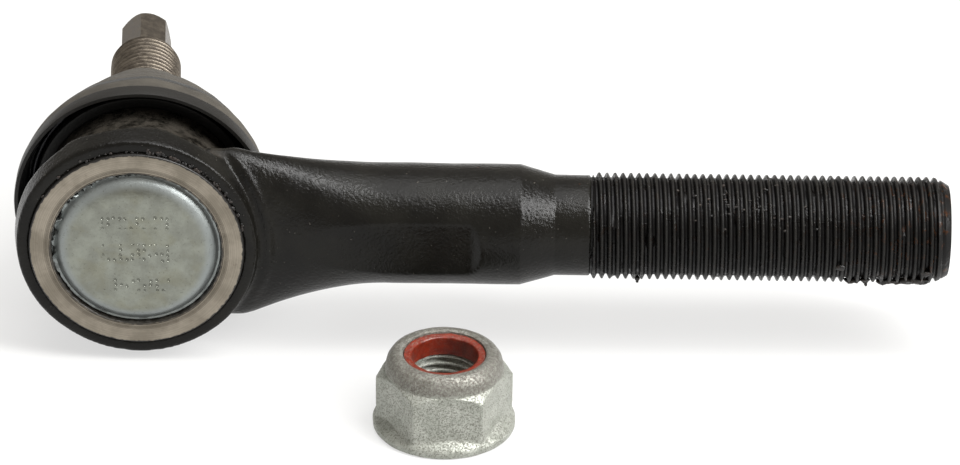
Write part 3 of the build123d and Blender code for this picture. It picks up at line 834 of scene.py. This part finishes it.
def make_grease(coat):
    """Dried grease: crumbs on the socket's mouth, clumps and drips on the shank's thread."""
    random.seed(11)
    bm = bmesh.new()

    def crumb(place_mm, size, stretch=(1, 1, 1)):
        blob = bmesh.ops.create_icosphere(bm, subdivisions=2, radius=size)["verts"]
        bmesh.ops.scale(bm, vec=stretch, verts=blob)
        bmesh.ops.translate(bm, vec=place_mm, verts=blob)
        for vert in blob:
            x, y, z = vert.co
            vert.co += (vert.co - Vector(place_mm)) * wobble(x, y, z, size * 1.3, 0.7)

    step_y = RIM_FACE_Y + RING_STEP
    for _ in range(90):
        angle = math.radians(random.gauss(62, 26))
        radius = RING_OUT_R + 0.25 + abs(random.gauss(0, 0.35))
        crumb((radius * math.cos(angle), step_y - 0.05, radius * math.sin(angle)), random.uniform(0.1, 0.3),
              (1.3, 0.6, 1.3))
    for _ in range(46):
        x = random.gauss(SHANK_END - 36, 7)
        angle = math.radians(random.gauss(146, 13))
        crumb((x, SHANK_Y - 9.7 * math.sin(angle), -9.7 * math.cos(angle)), random.uniform(0.12, 0.3),
              (1.5, 0.8, 1.0))
    for _ in range(40):
        x = SHANK_END - 4 - abs(random.gauss(0, 5))
        angle = math.radians(random.gauss(28, 16))
        crumb((x, SHANK_Y - 9.7 * math.sin(angle), -9.7 * math.cos(angle)), random.uniform(0.4, 0.9),
              (1.5, 0.9, 0.8))
    for x, size in ((SHANK_THREAD_START + 9, 0.45), (SHANK_END - 15, 0.5)):
        for drop in range(3):
            crumb((x, SHANK_Y - 3.4, -9.3 - 0.4 * drop), size - 0.1 * drop)
    obj = as_object("dried_grease", bm)
    return finish_piece(obj, coat, "socket", "forging_paint", angle=60)


# ---------------------------------------------------------------- cover plate


def make_cover(zinc):
    """Pressed hat: crowned face, rounded shoulder, and a thin torn edge of plating round its foot."""
    front = RIM_FACE_Y - 0.3
    cover = wire([
        (front - 0.62, 0.0), (front - 0.62, 6.0), (front - 0.55, 11.2), (front - 0.2, 13.0),
        (front + 0.5, 14.3), (front + 1.3, 15.0), (front + 1.45, 15.25), (front + 1.4, 15.6),
        (front + 1.6, 15.72), (front + 1.9, 15.7), (front + 1.9, 17.8),
        (RIM_FACE_Y + 3.8, 17.8), (RIM_FACE_Y + 3.8, 12.2), (front + 2.2, 12.2), (front + 2.2, 0.0),
    ], {3: 1.0, 4: 0.7, 5: 0.2})
    spin(stations(cover, 0.5), 300)
    for vert in cover.verts:
        x, y, z = vert.co
        radius = math.hypot(y, z)
        if 15.3 < radius < 15.8 and x < RIM_FACE_Y + 1.55:
            # Torn at the upper left, smooth elsewhere.
            torn = 0.06 + 0.94 * max(0.0, -(y + z) / radius / math.sqrt(2)) ** 1.5
            vert.co.x -= torn * (0.35 + wobble(y, 1, z, 2.2, 1.3) + wobble(y, 2, z, 0.7, 0.8))
            push = torn * (0.15 + wobble(y, 4, z, 1.8, 1.5) + wobble(y, 6, z, 0.6, 0.9))
            from_axis(vert, 1 + push / radius)
        elif radius < 14.6 and x < RIM_FACE_Y + 1.4:
            vert.co.x += wobble(y, 8, z, 6.0, 0.14)
    obj = as_object("cover_plate_pressing", place(cover, ABOUT_Y))
    return finish_piece(obj, zinc, "socket", "zinc_plate", "cover_plate", angle=40)


# ---------------------------------------------------------------- boot


def make_boot(rubber):
    """Hollow boot: banded lip, open skirt, foot on the neck, dome leaning over to the stud."""
    skin = wire([
        (LIP_FRONT_Y, LIP_R - 0.75), (LIP_FRONT_Y, LIP_R - 0.12), (-1.0, LIP_R), (1.75, LIP_R),
        (2.0, LIP_R - 0.35), (5.0, 23.8), (10.5, 21.95), (15.2, 19.9), (19.8, 17.9), (24.4, 15.8),
        (29.2, 13.5), (33.2, 11.6), (34.6, 10.9), (34.6, 10.0), (29.6, 10.0), (28.5, 11.4), (23.7, 13.9),
        (14.5, 18.0), (9.8, 20.2), (9.6, 18.5), (3.4, 18.5), (3.4, 20.7), (7.6, 20.7), (7.6, 22.1),
        (2.0, 22.6),
    ], {3: 0.2, 5: 1.4, 6: 2.3, 7: 2.3, 8: 2.3, 9: 2.3, 10: 1.9, 11: 0.6, 12: 0.6, 13: 0.3, 19: 0.4, 20: 0.4,
        21: 0.4}, close=True)
    spin(stations(skin, 1.3), 180)
    place(skin, ABOUT_Y)
    lean(skin, 3.0, 26.0)
    for vert in skin.verts:
        x, y, z = vert.co
        depth = 0.18 if y > 2.5 else 0.05
        push = wobble(x, y, z, 8.0, depth * 1.6) + wobble(x, y, z, 2.5, depth * 0.4)
        radius = math.hypot(x, z)
        if radius > 21 or y > 9.9:
            vert.co.x *= 1 + min(push, 0.12) / radius
            vert.co.z *= 1 + min(push, 0.12) / radius
    obj = as_object("dust_boot_rubber", skin)
    finish_piece_blended(obj, rubber)
    return obj


def finish_piece_blended(obj, rubber):
    """Gives the boot its finish and smooth shading, hides the CAD boot and bakes its place into the mesh."""
    obj.data.materials.clear()
    obj.data.materials.append(rubber)
    smooth_shade(obj, 40)
    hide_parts("dust_boot")
    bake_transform(obj)


# ---------------------------------------------------------------- ball stud


def hex_radius(angle, flats, corner_deg):
    """Distance from the middle of a hexagon to its edge in one direction."""
    turn = (angle - math.radians(corner_deg)) % (math.pi / 3)
    return flats / 2 / math.cos(turn - math.pi / 6)


def hexed(bm, flats, corner_deg, shape):
    """Presses a spun bar into a hexagon; shape(x, radius, hexagon) gives each point's new radius."""
    for vert in bm.verts:
        radius = math.hypot(vert.co.y, vert.co.z)
        if radius < 1e-6:
            continue
        angle = math.atan2(vert.co.z, vert.co.y)
        wanted = shape(vert.co.x, radius, hex_radius(angle, flats, corner_deg))
        from_axis(vert, wanted / radius)
    return bm


def make_stud(steel):
    """Ball, neck, taper, rolled thread and holding hexagon of one forging."""
    ball = [(-BALL_R * math.cos(a), BALL_R * math.sin(a)) for a in
            (math.radians(d) for d in range(32, 145, 4))]
    body = wire([(-11.5, 0.0), (-11.5, ball[0][1])] + ball + [
        (13.0, 7.2), (19.0, 7.2), (24.5, 8.5), (25.5, 8.5), (39.5, 7.62), (40.1, 6.7), (41.0, 6.6),
        (41.0, 0.0)])
    spin(stations(body, 2.0), 120)

    def envelope(x, radius):
        if x < STUD_THREAD_START + 0.2:
            return STUD_THREAD_R - THREAD_DEPTH
        from_end = STUD_THREAD_END - x
        if from_end < 0.8:
            radius = min(radius, STUD_THREAD_R - 0.75 * (0.8 - from_end))
        return radius

    thread = cap(thread_tube(STUD_THREAD_START - 0.3, STUD_THREAD_END, STUD_THREAD_R, envelope, steps=64))
    corner = TIP_FLATS / math.sqrt(3)
    tip = wire([(STUD_THREAD_END - 0.3, 0.0), (STUD_THREAD_END - 0.3, corner), (TIP_END - 2.2, corner),
                (TIP_END - 0.9, corner - 0.75), (TIP_END - 0.2, corner - 1.6), (TIP_END, corner - 2.3),
                (TIP_END, 0.0)])
    spin(stations(tip, 0.5), 192)

    def nose(x, radius, hexagon):
        return min(radius, hexagon) if radius > corner - 2.4 else radius

    hexed(tip, TIP_FLATS, -TIP_CORNER_DEG, nose)
    stud = place(join(body, thread, tip), ABOUT_Y)
    obj = as_object("ball_stud_forging", lean(stud))
    return finish_piece(obj, steel, "stud", "stud_steel", "ball_stud", angle=28)


# ---------------------------------------------------------------- nut


def make_nut(flake):
    """Hexagon, flange and rolled collar pressed from one blank, with the thread cut inside."""
    corner = NUT_FLATS / math.sqrt(3)
    outline = wire([
        (0.0, 7.6), (0.0, 12.8), (0.35, 13.15), (1.2, 13.2), (1.9, 13.1), (3.0, corner), (10.0, corner),
        (11.2, corner), (11.7, 10.95), (12.5, 10.85), (13.6, 10.6), (14.6, 9.95), (15.1, 9.1), (15.2, 8.2),
        (15.0, 7.65), (14.2, 7.55), (14.1, 9.2), (10.9, 9.2), (10.9, 7.6),
    ], {1: 0.2, 9: 0.3}, close=True)
    spin(stations(outline, 0.3), 240)

    def press(x, radius, hexagon):
        if not 1.2 < x < 11.65 or radius < 10.5:
            return radius
        flange = FLANGE_R - 2.3 * (max(0.0, x - 1.1) / 1.7) ** 2
        top = corner + 0.1 - max(0.0, x - 10.1) * 1.1
        return max(min(hexagon, top), flange, 10.9)

    hexed(outline, NUT_FLATS, NUT_CORNER_DEG - 90, press)
    flange = [v for v in outline.verts if 1.3 < v.co.x < 4.2]
    for verts in (outline.verts, flange, flange, flange):
        bmesh.ops.smooth_vert(outline, verts=verts, factor=0.35, use_axis_x=True, use_axis_y=True,
                              use_axis_z=True)
    inner = thread_tube(0.5, 10.85, NUT_THREAD_R,
                        lambda x, radius: max(radius, NUT_BORE_R + 0.8 * max(0.0, 1.3 - x)), depth=0.85)
    edges = [e for e in inner.edges if e.is_boundary]
    grown = bmesh.ops.extrude_edge_only(inner, edges=edges)
    for vert in (g for g in grown["geom"] if isinstance(g, bmesh.types.BMVert)):
        from_axis(vert, UNDER_COLLAR_R / math.hypot(vert.co.y, vert.co.z))
    bmesh.ops.reverse_faces(inner, faces=inner.faces)
    nut = place(join(outline, inner), ABOUT_Z)
    for vert in nut.verts:
        x, y, z = vert.co
        vert.co += vert.normal * wobble(x, y, z, 2.0, 0.05)
    place(nut, Matrix.Translation((NUT_CENTRE.x, NUT_CENTRE.y, FLOOR_Z)))
    obj = as_object("lock_nut_body", nut)
    return finish_piece(obj, flake, "nut", "zinc_flake", "stud_nut", angle=32)


def make_insert(nylon):
    """Nylon ring under the rolled collar, bulging a little into the mouth."""
    ring = wire([(11.0, 6.15), (14.55, 6.15), (14.75, 7.5), (14.05, 7.5), (13.9, 9.1), (11.0, 9.1)],
                {1: 0.3, 2: 0.15}, close=True)
    spin(stations(ring, 0.5), 128)
    place(ring, ABOUT_Z)
    for vert in ring.verts:
        vert.co.z += wobble(vert.co.x, vert.co.y, 0, 1.6, 0.12)
    place(ring, Matrix.Translation((NUT_CENTRE.x, NUT_CENTRE.y, FLOOR_Z)))
    obj = as_object("nylon_locking_ring", ring)
    return finish_piece(obj, nylon, "nut", "red_nylon", "nut_lock_insert", angle=40)


# ---------------------------------------------------------------- build

forging_paint = make_forging_paint()
make_forged_body(forging_paint)
make_socket_mouth(make_turned_ring())
thread_coat = make_thread_coat()
make_shank_thread(thread_coat)
make_grease(make_dried_grease())
make_cover(make_zinc_plate())
make_boot(make_boot_rubber())
make_stud(make_stud_steel())
make_nut(make_zinc_flake())
make_insert(make_red_nylon())

spring_steel = make_spring_steel()
bearing_polymer = make_moulded("moulded_acetal", "d8d3c4", "c8c2b2", 6.0)
bush_polymer = make_moulded("moulded_black_nylon", "24231f", "171614", 4.0)
for name, finish in (("preload_spring", spring_steel), ("boot_lower_ring", spring_steel),
                     ("upper_bearing", bearing_polymer), ("lower_bearing", bearing_polymer),
                     ("boot_collar_bush", bush_polymer)):
    slots = frame["nodes"][name].data.materials
    for index in range(max(1, len(slots))):
        if index < len(slots):
            slots[index] = finish
        else:
            slots.append(finish)

# ---------------------------------------------------------------- floor, light and camera

FLOOR_HALF = 6.0                        # metres
FLOOR_GLOW = 0.62
WORLD_STRENGTH = 0.45
CAMERA_AT = (63.86, -743.7, 415.3)
CAMERA_ELEVATION = 29.49
CAMERA_ROLL = 0.81
LENS = 168.75
SENSOR = 36.0


def make_floor():
    mesh = bpy.data.meshes.new("floor")
    bm = bmesh.new()
    bmesh.ops.create_grid(bm, x_segments=1, y_segments=1, size=FLOOR_HALF)
    bmesh.ops.translate(bm, vec=(0, 0, FLOOR_Z * MM), verts=bm.verts)
    bm.to_mesh(mesh)
    bm.free()
    floor = bpy.data.objects.new("floor", mesh)
    bpy.context.scene.collection.objects.link(floor)
    paper = bpy.data.materials.new("white_paper")
    paper.use_nodes = True
    shader = paper.node_tree.nodes["Principled BSDF"]
    shader.inputs["Base Color"].default_value = srgb("8c8c8b")
    shader.inputs["Roughness"].default_value = 0.9
    shader.inputs["Emission Color"].default_value = srgb("ffffff")
    shader.inputs["Emission Strength"].default_value = FLOOR_GLOW
    floor.data.materials.append(paper)


def make_softbox(name, place_mm, aim_mm, size, size_y, power):
    """A rectangular area light, its sides in metres."""
    light = bpy.data.lights.new(name, "AREA")
    light.shape = "RECTANGLE"
    light.size = size
    light.size_y = size_y
    light.energy = power
    lamp = bpy.data.objects.new(name, light)
    bpy.context.scene.collection.objects.link(lamp)
    lamp.location = Vector(place_mm) * MM
    direction = (Vector(aim_mm) - Vector(place_mm)).normalized()
    lamp.rotation_euler = direction.to_track_quat("-Z", "Y").to_euler()


def make_world():
    world = bpy.data.worlds.new("studio")
    world.use_nodes = True
    world.node_tree.nodes["Background"].inputs["Color"].default_value = srgb("fff9f0")
    world.node_tree.nodes["Background"].inputs["Strength"].default_value = WORLD_STRENGTH
    bpy.context.scene.world = world


def make_camera():
    """A long lens, level with the shank, looking down at about thirty degrees."""
    elevation = math.radians(CAMERA_ELEVATION)
    roll = math.radians(CAMERA_ROLL)
    data = bpy.data.cameras.new("camera")
    data.lens = LENS
    data.sensor_width = SENSOR
    data.clip_end = 20.0
    camera = bpy.data.objects.new("camera", data)
    bpy.context.scene.collection.objects.link(camera)
    right = Vector((1, 0, 0))
    up = Vector((0, math.sin(elevation), math.cos(elevation)))
    back = Vector((0, -math.cos(elevation), math.sin(elevation)))
    turned_right = right * math.cos(roll) + up * math.sin(roll)
    turned_up = up * math.cos(roll) - right * math.sin(roll)
    basis = Matrix((turned_right, turned_up, back)).transposed().to_4x4()
    camera.matrix_world = Matrix.Translation(Vector(CAMERA_AT) * MM) @ basis
    bpy.context.scene.camera = camera


make_floor()
make_world()
make_softbox("overhead", (60, 100, 760), (60, 60, 0), 0.6, 0.66, 3.6)
make_softbox("right_front", (560, -260, 650), (75, 0, 0), 0.26, 0.9, 14.0)
make_camera()
bpy.context.scene.view_settings.view_transform = "Standard"
